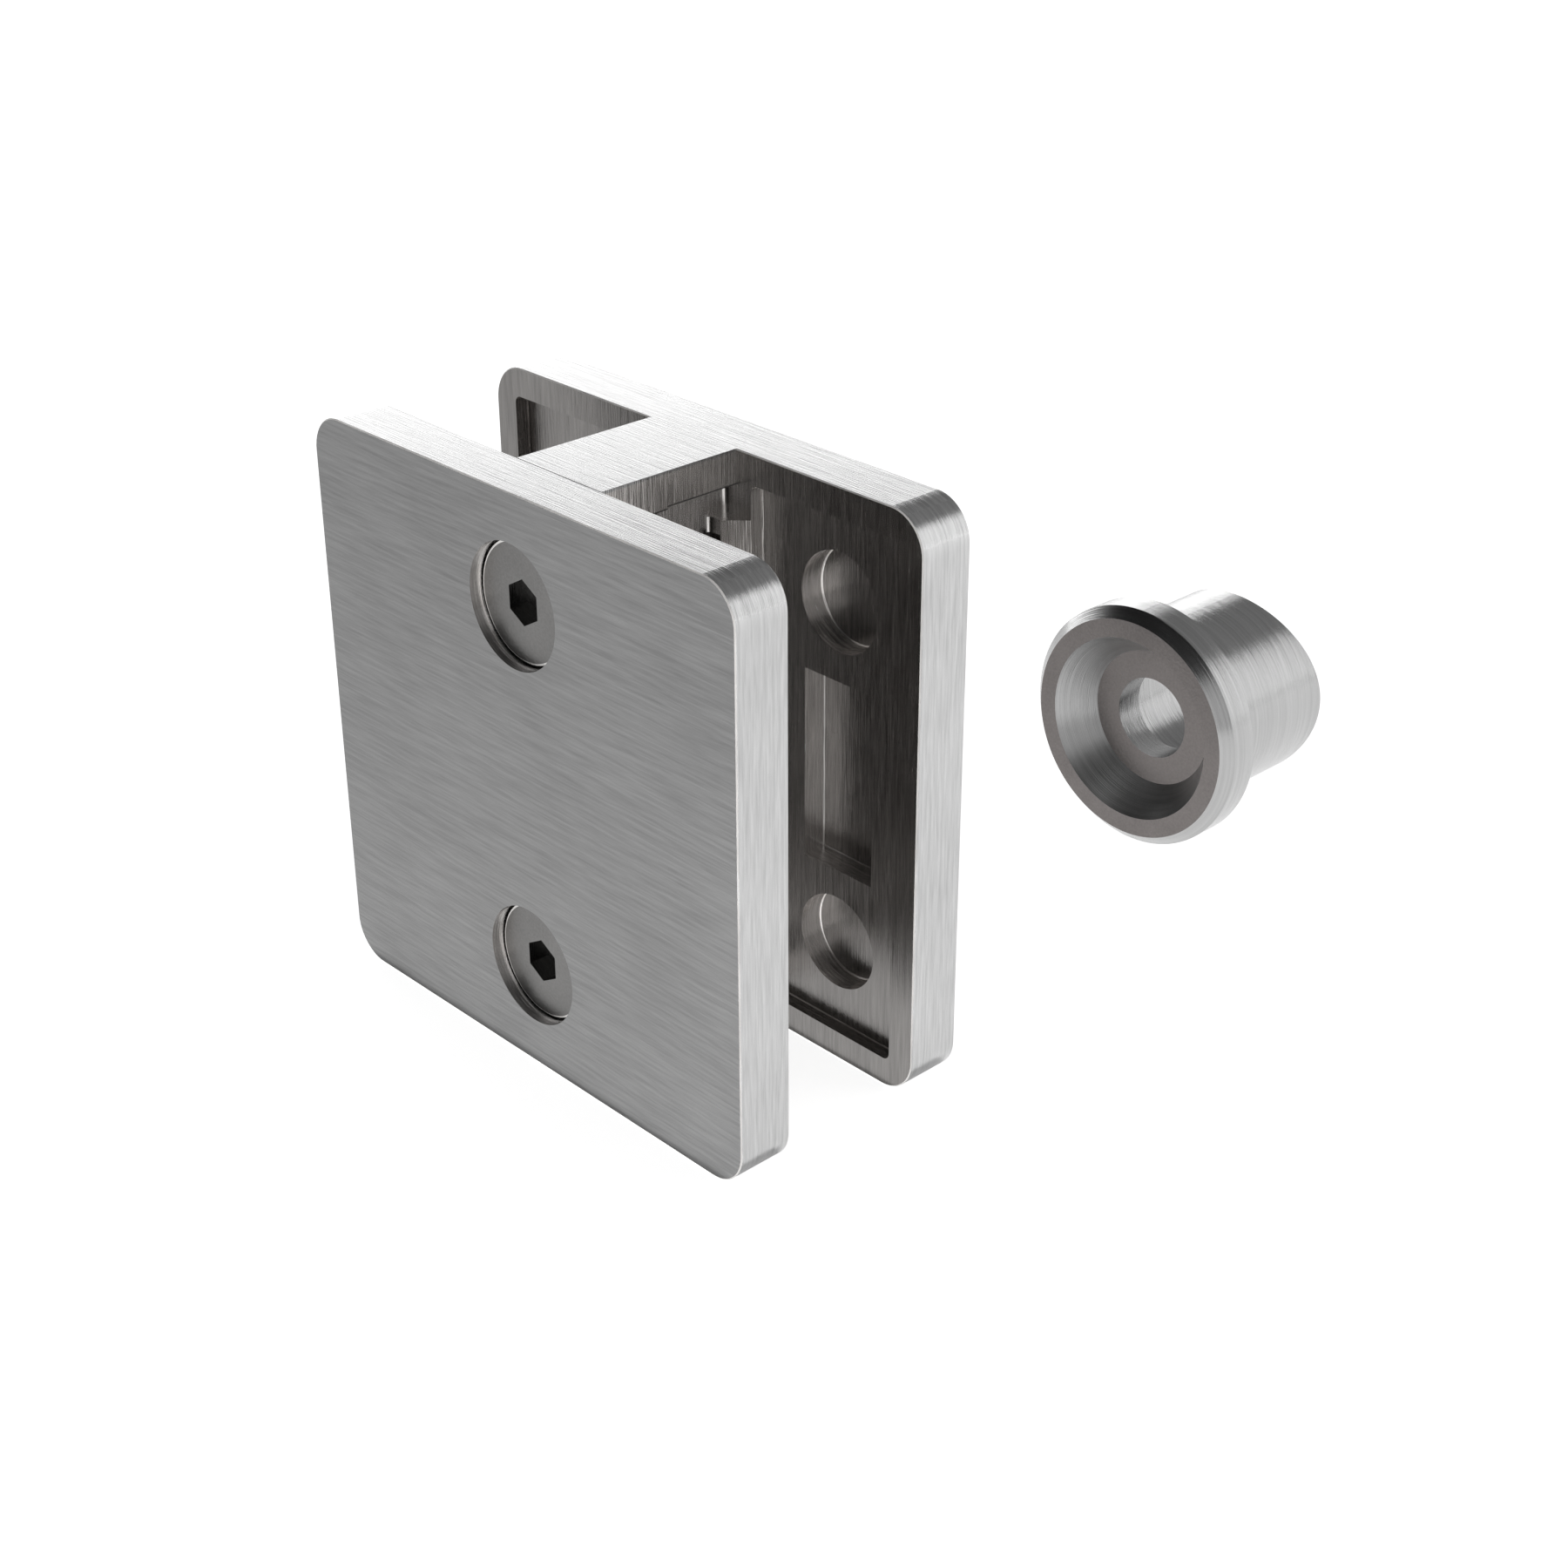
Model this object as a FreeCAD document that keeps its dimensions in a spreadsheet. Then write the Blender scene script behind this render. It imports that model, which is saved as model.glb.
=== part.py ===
"""Glass panel clamp for two panes in line, with its adapter for a round post.

The clamp stands on its lower edges with its front plate towards -Y. The origin is the middle of
the space that it stands on, X runs along the two panes and Z is up. All lengths are millimetres.
"""
import FreeCAD, Part
import Sketcher
import math
import os
import re

# Driving dimensions, one value each
SIZES = [
    ("plate_width", 60.0, "width of both plates"),
    ("plate_height", 60.0, "height of both plates and of the web"),
    ("plate_thickness", 6.0, "thickness of each plate"),
    ("corner_radius", 4.0, "radius of the plates' four corners"),
    ("edge_break", 0.12, "chamfer on the plates' outer rims"),
    ("glass_gap", 16.0, "space between the plates for glass and gaskets"),
    ("web_width", 12.0, "width of the web between the two panes"),
    ("recess_depth", 1.5, "depth of the recess in each side of the web"),
    ("recess_margin", 3.5, "solid web above and below that recess"),
    ("guide_depth", 1.8, "depth of the recess's deeper front part"),
    ("guide_margin", 3.75, "solid web above and below the front part"),
    ("guide_length", 7.6, "length of the front part, from the web's front end"),
    ("corner_fillet", 0.5, "radius in the corners of the web's recess"),
    ("ridge_size", 2.0, "height and width of the ridge beside the web"),
    ("ridge_margin", 6.5, "distance of the ridge's ends from the plate's top and bottom"),
    ("ridge_end", 1.5, "height of the blocks that close the gasket groove"),
    ("pocket_rim", 3.0, "plate left round the gasket pocket"),
    ("pocket_depth", 1.5, "depth of the gasket pocket"),
    ("pocket_corner", 0.8, "radius of the pocket's corners"),
    ("floor_chamfer", 0.12, "chamfer between walls and floors of pocket and reliefs"),
    ("relief_offset", 18.2, "middle of the reliefs from the middle of the clamp"),
    ("relief_diameter", 10.0, "diameter of the two round reliefs in the pocket's floor"),
    ("relief_spacing", 36.0, "distance between the round reliefs"),
    ("relief_depth", 2.6, "depth of the reliefs below the pocket's floor"),
    ("slot_width", 9.1, "width of the relief slot between the round ones"),
    ("slot_height", 20.0, "height of the relief slot"),
    ("screw_spacing", 37.8, "distance between the two cover screws"),
    ("screw_diameter", 6.0, "outer diameter of the screws' thread"),
    ("screw_length", 20.0, "overall length of a countersunk screw"),
    ("head_diameter", 12.0, "diameter of the screw's head"),
    ("head_land", 0.5, "height of the cylindrical rim of the head"),
    ("head_edge", 0.12, "chamfer on the head's upper edge"),
    ("key_size", 4.0, "width across flats of the screw's hexagon socket"),
    ("key_depth", 2.4, "depth of the hexagon socket"),
    ("tip_chamfer", 0.8, "chamfer at the screw's end"),
    ("head_recess", 1.3, "depth of the screw's face below the front plate's face"),
    ("head_gap", 0.2, "radial space round the screw's head"),
    ("seat_clearance", 0.1, "space between the head's cone and its seat"),
    ("shank_gap", 0.2, "radial space round the screw in the front plate"),
    ("thread_clearance", 0.05, "radial running clearance of the screw in the web"),
    ("screw_hole_depth", 18.0, "depth of the screw holes, from the web's front end"),
    ("post_hole_diameter", 6.8, "core diameter of the thread for the post screw"),
    ("post_hole_depth", 14.0, "depth of that thread in the clamp's back"),
    ("post_hole_chamfer", 1.0, "chamfer at the mouth of that thread"),
    ("tube_diameter", 48.3, "diameter of the post that the adapter fits"),
    ("adapter_flange", 28.2, "diameter of the adapter's flange"),
    ("flange_chamfer", 1.2, "chamfer round the flange's face"),
    ("flange_thickness", 4.5, "thickness of the flange"),
    ("adapter_body", 22.3, "diameter of the adapter's body"),
    ("adapter_length", 17.9, "length from the face to the bottom of the saddle"),
    ("dish_diameter", 21.5, "diameter of the dish in the face at its mouth"),
    ("dish_floor", 15.9, "diameter of the dish's floor"),
    ("dish_depth", 4.2, "depth of the dish"),
    ("adapter_bore", 9.5, "diameter of the adapter's screw hole"),
    ("bore_floor", 7.7, "distance of the rear bore's floor from the face"),
    ("rear_bore", 14.0, "diameter of the bore from the saddle's side"),
    ("adapter_right", 10.1, "the adapter's place beside the clamp, along X"),
    ("adapter_back", 62.9, "the adapter's place behind the clamp, along Y"),
]

doc = FreeCAD.newDocument("GlassPanelClamp")
sheet = doc.addObject("Spreadsheet::Sheet", "Dimensions")
for row, (alias, number, note) in enumerate(SIZES, start=1):
    sheet.set("A%d" % row, alias)
    sheet.set("B%d" % row, str(number))
    sheet.setAlias("B%d" % row, alias)
    sheet.set("C%d" % row, note)
doc.recompute()

# Lengths that more than one piece uses, as expressions on the sheet
HALF_GAP = "glass_gap / 2"
FRONT_FACE = "-glass_gap / 2 - plate_thickness"
POCKET_EDGE = "web_width / 2 + ridge_size"
RECESS_SIDE = "web_width / 2 - recess_depth"
MID_HEIGHT = "plate_height / 2"
LOWER_SCREW = "plate_height / 2 - screw_spacing / 2"
HEAD_RADIUS = "head_diameter / 2"
SHANK_RADIUS = "screw_diameter / 2"


def on_sheet(text):
    """Writes the sheet's name before each of its aliases in an expression."""
    names = {alias for alias, number, note in SIZES}
    return re.sub("[a-z_]+", lambda word: "Dimensions." * (word[0] in names) + word[0], text)


def value(text):
    """The number that an expression gives for the sheet's present sizes."""
    return float(sheet.evalExpression(on_sheet(text)))


def bind(target, path, text):
    target.setExpression(path, on_sheet(text))


def origin_feature(body, role):
    return next(feature for feature in body.Origin.OriginFeatures if feature.Role == role)


def new_sketch(body, name, plane, along="0", up="0"):
    """A sketch on one of the body's own planes, moved along its normal and up its own Y."""
    sketch = body.newObject("Sketcher::SketchObject", name)
    sketch.AttachmentSupport = [(origin_feature(body, plane), "")]
    sketch.MapMode = "FlatFace"
    bind(sketch, "AttachmentOffset.Base.z", along)
    bind(sketch, "AttachmentOffset.Base.y", up)
    return sketch


def place_point(sketch, edge, end, across, up):
    """Fixes one end of an edge by its two coordinates, each an expression or "0"."""
    for kind, axis, text in (("DistanceX", -2, across), ("DistanceY", -1, up)):
        if text == "0":
            sketch.addConstraint(Sketcher.Constraint("PointOnObject", edge, end, axis))
            continue
        index = sketch.addConstraint(Sketcher.Constraint(kind, -1, 1, edge, end, value(text)))
        bind(sketch, "Constraints[%d]" % index, text)


def polygon(sketch, corners):
    """A closed outline whose corners are pairs of expressions."""
    points = [FreeCAD.Vector(value(across), value(up), 0) for across, up in corners]
    edges = []
    for start, end in zip(points, points[1:] + points[:1]):
        edges.append(sketch.addGeometry(Part.LineSegment(start, end), False))
    for edge, following in zip(edges, edges[1:] + edges[:1]):
        sketch.addConstraint(Sketcher.Constraint("Coincident", edge, 2, following, 1))
    for edge, (across, up) in zip(edges, corners):
        place_point(sketch, edge, 1, across, up)


def rectangle(sketch, left, right, bottom, top):
    polygon(sketch, [(left, bottom), (right, bottom), (right, top), (left, top)])


def circle(sketch, across, up, radius):
    centre = FreeCAD.Vector(value(across), value(up), 0)
    round_edge = Part.Circle(centre, FreeCAD.Vector(0, 0, 1), value(radius))
    edge = sketch.addGeometry(round_edge, False)
    place_point(sketch, edge, 3, across, up)
    index = sketch.addConstraint(Sketcher.Constraint("Radius", edge, value(radius)))
    bind(sketch, "Constraints[%d]" % index, radius)


def rounded_rectangle(sketch, left, right, bottom, top, radius):
    """Four lines and four tangent arcs, driven by the sides' places and one radius."""
    x0, x1, y0, y1, r = (value(text) for text in (left, right, bottom, top, radius))
    centres = [(x1 - r, y0 + r, 270), (x1 - r, y1 - r, 0), (x0 + r, y1 - r, 90), (x0 + r, y0 + r, 180)]
    arcs = []
    for x, y, start in centres:
        base = Part.Circle(FreeCAD.Vector(x, y, 0), FreeCAD.Vector(0, 0, 1), r)
        arc = Part.ArcOfCircle(base, math.radians(start), math.radians(start + 90))
        arcs.append(sketch.addGeometry(arc, False))
    lines = []
    for start, end in (((x0 + r, y0), (x1 - r, y0)), ((x1, y0 + r), (x1, y1 - r)),
                       ((x1 - r, y1), (x0 + r, y1)), ((x0, y1 - r), (x0, y0 + r))):
        segment = Part.LineSegment(FreeCAD.Vector(*start, 0), FreeCAD.Vector(*end, 0))
        lines.append(sketch.addGeometry(segment, False))
    for number, line in enumerate(lines):
        sketch.addConstraint(Sketcher.Constraint("Tangent", line, 2, arcs[number], 1))
        sketch.addConstraint(Sketcher.Constraint("Tangent", arcs[number], 2, lines[(number + 1) % 4], 1))
    sketch.addConstraint(Sketcher.Constraint("Horizontal", lines[0]))
    sketch.addConstraint(Sketcher.Constraint("Vertical", lines[1]))
    for arc in arcs[1:]:
        sketch.addConstraint(Sketcher.Constraint("Equal", arcs[0], arc))
    sides = ((lines[0], "DistanceY", bottom, -1), (lines[1], "DistanceX", right, -2),
             (lines[2], "DistanceY", top, -1), (lines[3], "DistanceX", left, -2))
    for line, kind, text, axis in sides:
        if text == "0":
            sketch.addConstraint(Sketcher.Constraint("PointOnObject", line, 1, axis))
            continue
        index = sketch.addConstraint(Sketcher.Constraint(kind, -1, 1, line, 1, value(text)))
        bind(sketch, "Constraints[%d]" % index, text)
    index = sketch.addConstraint(Sketcher.Constraint("Radius", arcs[0], r))
    bind(sketch, "Constraints[%d]" % index, radius)


def body_volume(body):
    return body.Shape.Volume if body.Tip and not body.Shape.isNull() else 0.0


def feature(body, kind, name, sketch, length=None, reverse=False, through=False):
    """Adds one sketch-based feature and makes sure that it adds or takes material as it should."""
    before = body_volume(body)
    made = body.newObject("PartDesign::" + kind, name)
    made.Profile = sketch
    if kind in ("Revolution", "Groove"):
        made.ReferenceAxis = (sketch, ["H_Axis"])
        made.Angle = 360
    if length:
        bind(made, "Length", length)
    if through:
        made.Type = "ThroughAll"
        made.Midplane = True
    made.Reversed = reverse
    sketch.Visibility = False
    doc.recompute()
    check_change(body, made, before, kind in ("Pocket", "Groove"))
    return made


def check_change(body, made, before, takes):
    after = body_volume(body)
    if takes and not after < before or not takes and not after > before:
        raise RuntimeError("%s leaves the volume of %s at %.3f" % (made.Name, body.Label, after))


def repeat(body, kind, name, originals, **settings):
    """Adds a mirror image or a row of earlier features."""
    made = body.newObject("PartDesign::" + kind, name)
    made.Originals = originals
    for key, setting in settings.items():
        setattr(made, key, setting)
    body.Tip = made
    doc.recompute()
    return made


def other_wing(body, name, originals):
    """Mirrors features of the right wing to the left one."""
    return repeat(body, "Mirrored", name, originals, MirrorPlane=(origin_feature(body, "YZ_Plane"), [""]))


def edges_where(body, wanted):
    """Names of the edges of a body for which the test holds."""
    return ["Edge%d" % number for number, edge in enumerate(body.Shape.Edges, start=1) if wanted(edge)]


def dress_edges(body, kind, name, size, wanted):
    """Adds a Fillet or a Chamfer of this size to the edges for which the test holds."""
    base = body.Tip
    names = edges_where(body, wanted)
    if not names:
        raise RuntimeError("no edges for %s" % name)
    made = body.newObject("PartDesign::" + kind, name)
    made.Base = (base, names)
    bind(made, "Radius" if kind == "Fillet" else "Size", size)
    doc.recompute()
    if "Invalid" in made.State:
        raise RuntimeError("%s failed on %s" % (name, body.Label))
    return made


def lies_on(edge, axis, place):
    """True where the whole edge lies in the plane at that place along an axis, 0 to 2."""
    box = edge.BoundBox
    low = (box.XMin, box.YMin, box.ZMin)[axis]
    high = (box.XMax, box.YMax, box.ZMax)[axis]
    return abs(low - place) < 1e-4 and abs(high - place) < 1e-4


def new_body(label):
    body = doc.addObject("PartDesign::Body", label)
    body.Label = label
    return body


def plate(body, name, outer_face):
    """A plate with rounded corners, from its outer face inwards."""
    outline = new_sketch(body, name + "Outline", "XZ_Plane", along="-(%s)" % outer_face)
    rounded_rectangle(outline, "-plate_width / 2", "plate_width / 2", "0", "plate_height", "corner_radius")
    return outline


def side_recess(body, name, front, back, margin, depth):
    """A recess in the right side of the web, between two places along Y."""
    outline = new_sketch(body, name + "Outline", "YZ_Plane", along="web_width / 2")
    rectangle(outline, front, back, margin, "plate_height - " + margin)
    return feature(body, "Pocket", name, outline, depth)


def locating_ridge(body):
    """The ridge between web and gasket pocket, with a block at each end, on the right wing."""
    crest = HALF_GAP + " - ridge_size"
    ridge = new_sketch(body, "RidgeProfile", "XY_Plane", along="ridge_margin")
    polygon(ridge, [("web_width / 2", crest), (POCKET_EDGE, HALF_GAP), ("web_width / 2", HALF_GAP)])
    made = [feature(body, "Pad", "Ridge", ridge, "plate_height - 2 * ridge_margin")]
    for name, foot in (("LowerEnd", "ridge_margin"), ("UpperEnd", "plate_height - ridge_margin - ridge_end")):
        block = new_sketch(body, name + "Profile", "XY_Plane", along=foot)
        rectangle(block, RECESS_SIDE, "web_width / 2", crest, HALF_GAP)
        made.append(feature(body, "Pad", name, block, "ridge_end"))
    return made


def gasket_seat(body, side):
    """The gasket pocket with its reliefs, on the right wing.

    side is 1 for the rear plate, whose seat faces -Y, and -1 for the front plate.
    """
    inward = side < 0
    sign = "" if side > 0 else "-"
    face = "%s(%s)" % (sign, HALF_GAP)
    opening = new_sketch(body, "PocketOutline", "XZ_Plane", along="-(%s)" % face)
    rounded_rectangle(opening, POCKET_EDGE, "plate_width / 2 - pocket_rim", "pocket_rim",
                      "plate_height - pocket_rim", "pocket_corner")
    pocket = feature(body, "Pocket", "GasketPocket", opening, "pocket_depth", reverse=inward)

    floor = "%s(%s + pocket_depth)" % (sign, HALF_GAP)
    outline = new_sketch(body, "ReliefOutline", "XZ_Plane", along="-(%s)" % floor)
    for turn in ("-", "+"):
        circle(outline, "relief_offset", "%s %s relief_spacing / 2" % (MID_HEIGHT, turn), "relief_diameter / 2")
    rectangle(outline, "relief_offset - slot_width / 2", "relief_offset + slot_width / 2",
              MID_HEIGHT + " - slot_height / 2", MID_HEIGHT + " + slot_height / 2")
    reliefs = feature(body, "Pocket", "Reliefs", outline, "relief_depth", reverse=inward)
    return [pocket, reliefs]


def finish_seats(body, side):
    """Breaks the corners between walls and floors of pockets and reliefs on both wings."""
    floor = side * value(HALF_GAP + " + pocket_depth")
    bottom = floor + side * value("relief_depth")
    low = value("pocket_rim + pocket_corner") + 1e-4
    high = value("plate_height") - low
    rim = value("plate_width / 2 - pocket_rim")
    tip = value(POCKET_EDGE)

    def on_pocket_floor(edge):
        box = edge.BoundBox
        nearest = min(abs(box.XMin), abs(box.XMax))
        furthest = max(abs(box.XMin), abs(box.XMax))
        at_wall = abs(furthest - rim) < 1e-4 or abs(nearest - tip) < 1e-4
        return lies_on(edge, 1, floor) and (at_wall or box.ZMax < low or box.ZMin > high)

    dress_edges(body, "Chamfer", "PocketFloor", "floor_chamfer", on_pocket_floor)
    dress_edges(body, "Chamfer", "ReliefFloor", "floor_chamfer", lambda edge: lies_on(edge, 1, bottom))


def break_rims(body, places):
    """Breaks the outer rim of a plate on the faces at these places along Y."""
    half = value("plate_width / 2")
    inner = value(POCKET_EDGE)

    def on_rim(edge):
        box = edge.BoundBox
        on_face = any(lies_on(edge, 1, place) for place in places)
        at_side = abs(max(abs(box.XMin), abs(box.XMax)) - half) < 1e-4
        at_end = abs(box.ZMin) < 1e-4 or abs(box.ZMax - value("plate_height")) < 1e-4
        reaches_out = max(abs(box.XMin), abs(box.XMax)) > inner
        return on_face and reaches_out and (at_side or at_end)

    dress_edges(body, "Chamfer", "BrokenRims", "edge_break", on_rim)


def make_rear_body():
    body = new_body("rear_body")
    inner = value(HALF_GAP)
    outline = plate(body, "RearPlate", HALF_GAP)
    feature(body, "Pad", "RearPlate", outline, "plate_thickness", reverse=True)
    web = new_sketch(body, "WebOutline", "XZ_Plane", along=HALF_GAP)
    rectangle(web, "-web_width / 2", "web_width / 2", "0", "plate_height")
    feature(body, "Pad", "Web", web, "glass_gap", reverse=True)

    step = "guide_length - (%s)" % HALF_GAP
    recess = side_recess(body, "SideRecess", step, HALF_GAP, "recess_margin", "recess_depth")
    originals = [recess] + locating_ridge(body) + gasket_seat(body, 1)
    other_wing(body, "OtherWing", originals)
    finish_seats(body, 1)

    bottom = value(RECESS_SIDE)
    crest = value(HALF_GAP + " - ridge_size")
    margin = value("recess_margin")
    ends = (margin, value("plate_height") - margin)

    def in_recess_corner(edge):
        box = edge.BoundBox
        upright = box.ZLength > 1e-3 and box.ZLength < value("ridge_margin")
        upright = upright and (lies_on(edge, 1, inner) or lies_on(edge, 1, crest))
        level = box.YLength > 1e-3 and any(lies_on(edge, 2, end) for end in ends)
        return any(lies_on(edge, 0, turn * bottom) for turn in (-1, 1)) and (upright or level)

    dress_edges(body, "Fillet", "RecessCorners", "corner_fillet", in_recess_corner)
    guide = side_recess(body, "GuideRecess", "-glass_gap / 2", step, "guide_margin", "guide_depth")
    other_wing(body, "OtherGuide", [guide])

    screw_hole = new_sketch(body, "ScrewHoleProfile", "YZ_Plane", up=LOWER_SCREW)
    rectangle(screw_hole, "-glass_gap / 2", "screw_hole_depth - (%s)" % HALF_GAP, "0",
              SHANK_RADIUS + " + thread_clearance")
    hole = feature(body, "Groove", "ScrewHole", screw_hole)
    row = repeat(body, "LinearPattern", "ScrewHoles", [hole], Occurrences=2,
                 Direction=(origin_feature(body, "Z_Axis"), [""]))
    bind(row, "Length", "screw_spacing")
    doc.recompute()

    back = "%s + plate_thickness" % HALF_GAP
    mouth = "post_hole_diameter / 2 + post_hole_chamfer"
    post_hole = new_sketch(body, "PostHoleProfile", "YZ_Plane", up=MID_HEIGHT)
    polygon(post_hole, [(back, "0"), (back, mouth), (back + " - post_hole_chamfer", "post_hole_diameter / 2"),
                        (back + " - post_hole_depth", "post_hole_diameter / 2"),
                        (back + " - post_hole_depth", "0")])
    feature(body, "Groove", "PostHole", post_hole)
    break_rims(body, [inner, value(back)])
    return body


def make_front_plate():
    body = new_body("front_plate")
    outline = plate(body, "FrontPlate", FRONT_FACE)
    feature(body, "Pad", "FrontPlate", outline, "plate_thickness", reverse=True)
    other_wing(body, "OtherWing", gasket_seat(body, -1))
    finish_seats(body, -1)

    seat = new_sketch(body, "ScrewSeatProfile", "YZ_Plane", up=LOWER_SCREW)
    shank = SHANK_RADIUS + " + shank_gap"
    bore = HEAD_RADIUS + " + head_gap"
    rim = "%s + head_recess + head_land + seat_clearance" % FRONT_FACE
    cone_end = rim + " + head_diameter / 2 + head_gap - screw_diameter / 2 - shank_gap"
    polygon(seat, [(FRONT_FACE, "0"), (FRONT_FACE, bore), (rim, bore), (cone_end, shank),
                   ("-glass_gap / 2", shank), ("-glass_gap / 2", "0")])
    hole = feature(body, "Groove", "ScrewSeat", seat)
    row = repeat(body, "LinearPattern", "ScrewSeats", [hole], Occurrences=2,
                 Direction=(origin_feature(body, "Z_Axis"), [""]))
    bind(row, "Length", "screw_spacing")
    doc.recompute()
    break_rims(body, [value(FRONT_FACE), -value(HALF_GAP)])
    return body


def make_screw(label, height):
    """A countersunk screw with a hexagon socket, its face at its own origin and its tip along +Y."""
    body = new_body(label)
    profile = new_sketch(body, "ScrewProfile", "YZ_Plane")
    cone_end = "head_land + head_diameter / 2 - screw_diameter / 2"
    polygon(profile, [("0", "0"), ("0", HEAD_RADIUS), ("head_land", HEAD_RADIUS), (cone_end, SHANK_RADIUS),
                      ("screw_length - tip_chamfer", SHANK_RADIUS),
                      ("screw_length", SHANK_RADIUS + " - tip_chamfer"), ("screw_length", "0")])
    feature(body, "Revolution", "Turned", profile)
    socket = new_sketch(body, "SocketOutline", "XZ_Plane")
    half_side = "key_size / 2"
    low = "key_size / 2 / sqrt(3)"
    point = "key_size / sqrt(3)"
    polygon(socket, [("0", point), ("-" + half_side, low), ("-" + half_side, "-" + low), ("0", "-" + point),
                     (half_side, "-" + low), (half_side, low)])
    feature(body, "Pocket", "Socket", socket, "key_depth")
    radius = value(HEAD_RADIUS)
    dress_edges(body, "Chamfer", "HeadEdge", "head_edge",
                lambda edge: lies_on(edge, 1, 0) and edge.BoundBox.XLength > 1.9 * radius)
    bind(body, "Placement.Base.y", "%s + head_recess" % FRONT_FACE)
    bind(body, "Placement.Base.z", height)
    return body


def make_adapter():
    """The post adapter: a turned flange and body with a saddle that fits an upright tube."""
    body = new_body("tube_adapter")
    profile = new_sketch(body, "AdapterProfile", "YZ_Plane")
    rim = "adapter_flange / 2"
    barrel = "adapter_body / 2"
    blank = "adapter_length + adapter_body / 4"
    polygon(profile, [
        ("0", "dish_diameter / 2"), ("0", rim + " - flange_chamfer"), ("flange_chamfer", rim),
        ("flange_thickness", rim), ("flange_thickness", barrel), (blank, barrel),
        (blank, "rear_bore / 2"), ("bore_floor", "rear_bore / 2"), ("bore_floor", "adapter_bore / 2"),
        ("dish_depth", "adapter_bore / 2"), ("dish_depth", "dish_floor / 2"),
    ])
    feature(body, "Revolution", "Turned", profile)
    tube = new_sketch(body, "TubeOutline", "XY_Plane")
    circle(tube, "0", "adapter_length + tube_diameter / 2", "tube_diameter / 2")
    feature(body, "Pocket", "Saddle", tube, through=True)
    bind(body, "Placement.Base.x", "adapter_right")
    bind(body, "Placement.Base.y", "adapter_back")
    bind(body, "Placement.Base.z", rim)
    return body


def check_document():
    """Stops if any object of the document failed or any body is no valid single solid."""
    for item in doc.Objects:
        if "Invalid" in item.State or "Error" in item.State:
            raise RuntimeError("%s failed: %s" % (item.Name, item.State))
    for body in bodies:
        if body.Shape.isNull() or not body.Shape.isValid() or len(body.Shape.Solids) != 1:
            raise RuntimeError("%s is no valid single solid" % body.Label)


bodies = [
    make_rear_body(),
    make_front_plate(),
    make_screw("screw_upper", LOWER_SCREW + " + screw_spacing"),
    make_screw("screw_lower", LOWER_SCREW),
    make_adapter(),
]
doc.recompute()
check_document()

os.makedirs("parts", exist_ok=True)
for body in bodies:
    body.Shape.exportStep("parts/%s.step" % body.Label)
    box = body.Shape.BoundBox
    print("%-13s %9.1f mm3  x %.2f..%.2f  y %.2f..%.2f  z %.2f..%.2f" % (
        body.Label, body.Shape.Volume, box.XMin, box.XMax, box.YMin, box.YMax, box.ZMin, box.ZMax))
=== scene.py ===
"""Studio scene of a glass panel clamp and its post adapter in brushed stainless steel.

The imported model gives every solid. This file adds the finishes, the cover screws with their
threads, the floor, the lamps, the surroundings and the camera. All lengths are metres, in the
model's own frame: +X along the glass panes, +Y from the front plate to the post, +Z up.
"""
import math
from collections import namedtuple
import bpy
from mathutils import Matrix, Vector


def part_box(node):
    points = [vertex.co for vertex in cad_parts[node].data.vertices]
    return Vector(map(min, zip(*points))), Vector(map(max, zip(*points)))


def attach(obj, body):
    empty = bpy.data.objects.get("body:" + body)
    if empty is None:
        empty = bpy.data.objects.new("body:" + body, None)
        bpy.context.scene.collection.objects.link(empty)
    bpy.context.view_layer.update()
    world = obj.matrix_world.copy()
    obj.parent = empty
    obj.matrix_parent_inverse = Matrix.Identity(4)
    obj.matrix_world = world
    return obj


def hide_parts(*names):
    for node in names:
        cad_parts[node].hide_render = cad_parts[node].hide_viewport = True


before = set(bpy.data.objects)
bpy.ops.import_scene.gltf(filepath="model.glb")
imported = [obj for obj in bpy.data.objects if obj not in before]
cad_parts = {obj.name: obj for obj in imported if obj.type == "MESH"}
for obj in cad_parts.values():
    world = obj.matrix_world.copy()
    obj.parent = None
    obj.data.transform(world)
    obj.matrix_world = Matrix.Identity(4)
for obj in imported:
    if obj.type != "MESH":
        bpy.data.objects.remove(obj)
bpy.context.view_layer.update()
from types import SimpleNamespace

import bpy
from bpy.props import FloatProperty, FloatVectorProperty, IntProperty, PointerProperty
from mathutils import Matrix, Vector

bl_info = {
    "name": "Glass Panel Clamp",
    "version": (1, 0, 0),
    "blender": (4, 5, 0),
    "location": "View3D > Sidebar > Glass Clamp",
    "description": "Finishes, cover screws, studio and camera for a glass panel clamp",
    "category": "Object",
}

MM = 0.001
WHITE = (1.0, 1.0, 1.0, 1.0)
PLATES = ("rear_body", "front_plate")
ADAPTER = "tube_adapter"
SCREWS = {"screw_upper": "upper_screw", "screw_lower": "lower_screw"}


def span(node):
    """Lowest corner, middle and highest corner of a node."""
    low, high = (Vector(corner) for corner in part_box(node))
    return low, (low + high) / 2, high


_, PLATE_MIDDLE, PLATE_HIGH = span("rear_body")

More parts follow.
